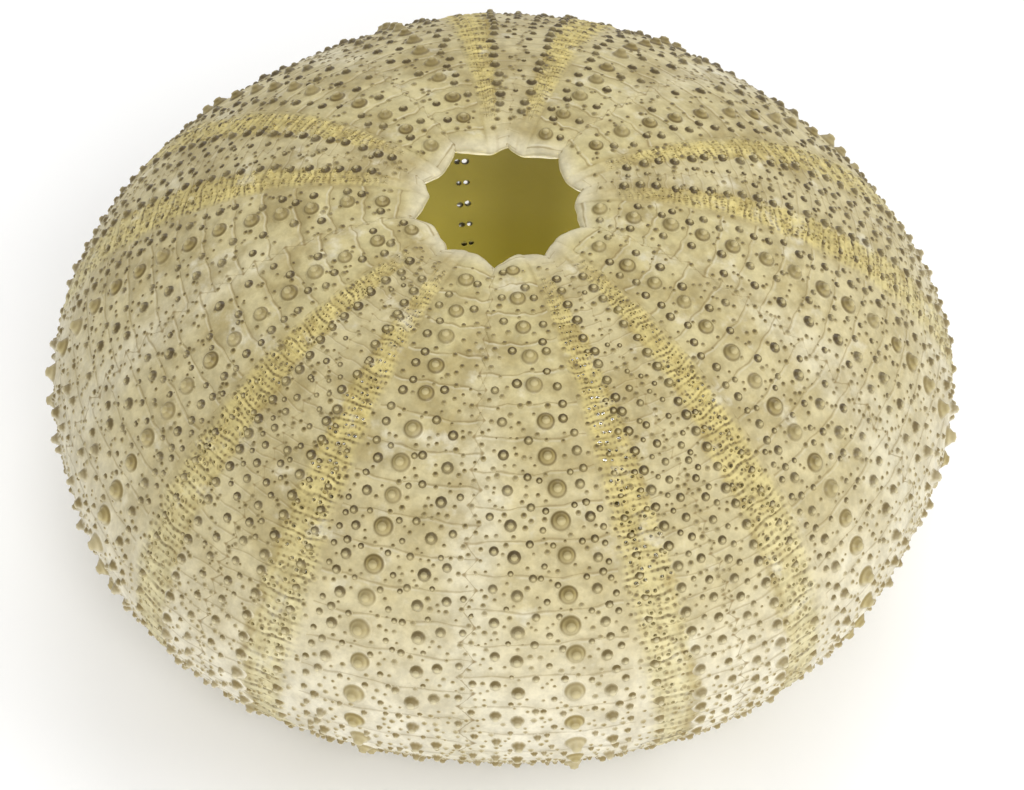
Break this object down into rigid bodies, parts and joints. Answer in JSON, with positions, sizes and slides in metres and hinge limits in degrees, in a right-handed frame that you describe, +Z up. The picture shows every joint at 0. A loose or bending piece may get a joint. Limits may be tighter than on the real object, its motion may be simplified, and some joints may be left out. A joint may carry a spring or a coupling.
{
  "type": "sea urchin shell",
  "caption": "Bare, hollow, domed shell of a sea urchin with five pored rays and rows of tubercles, open at the top and at the mouth underneath.",
  "frame": {"origin": "middle of the flat ring underneath that the shell rests on", "axes": "+Z up through the mouth and the top opening; -Y is the middle of the front field between two pored rays; +X is to the right seen from the front"},
  "size_m": [0.0802, 0.0801, 0.0422],
  "materials": {
    "shell_lime": "satin, slightly translucent cream lime with yellow pored bands and glassy olive-brown tubercles"
  },
  "bodies": {
    "root": {"urchin_shell": "shell_lime"}
  },
  "joints": []
}
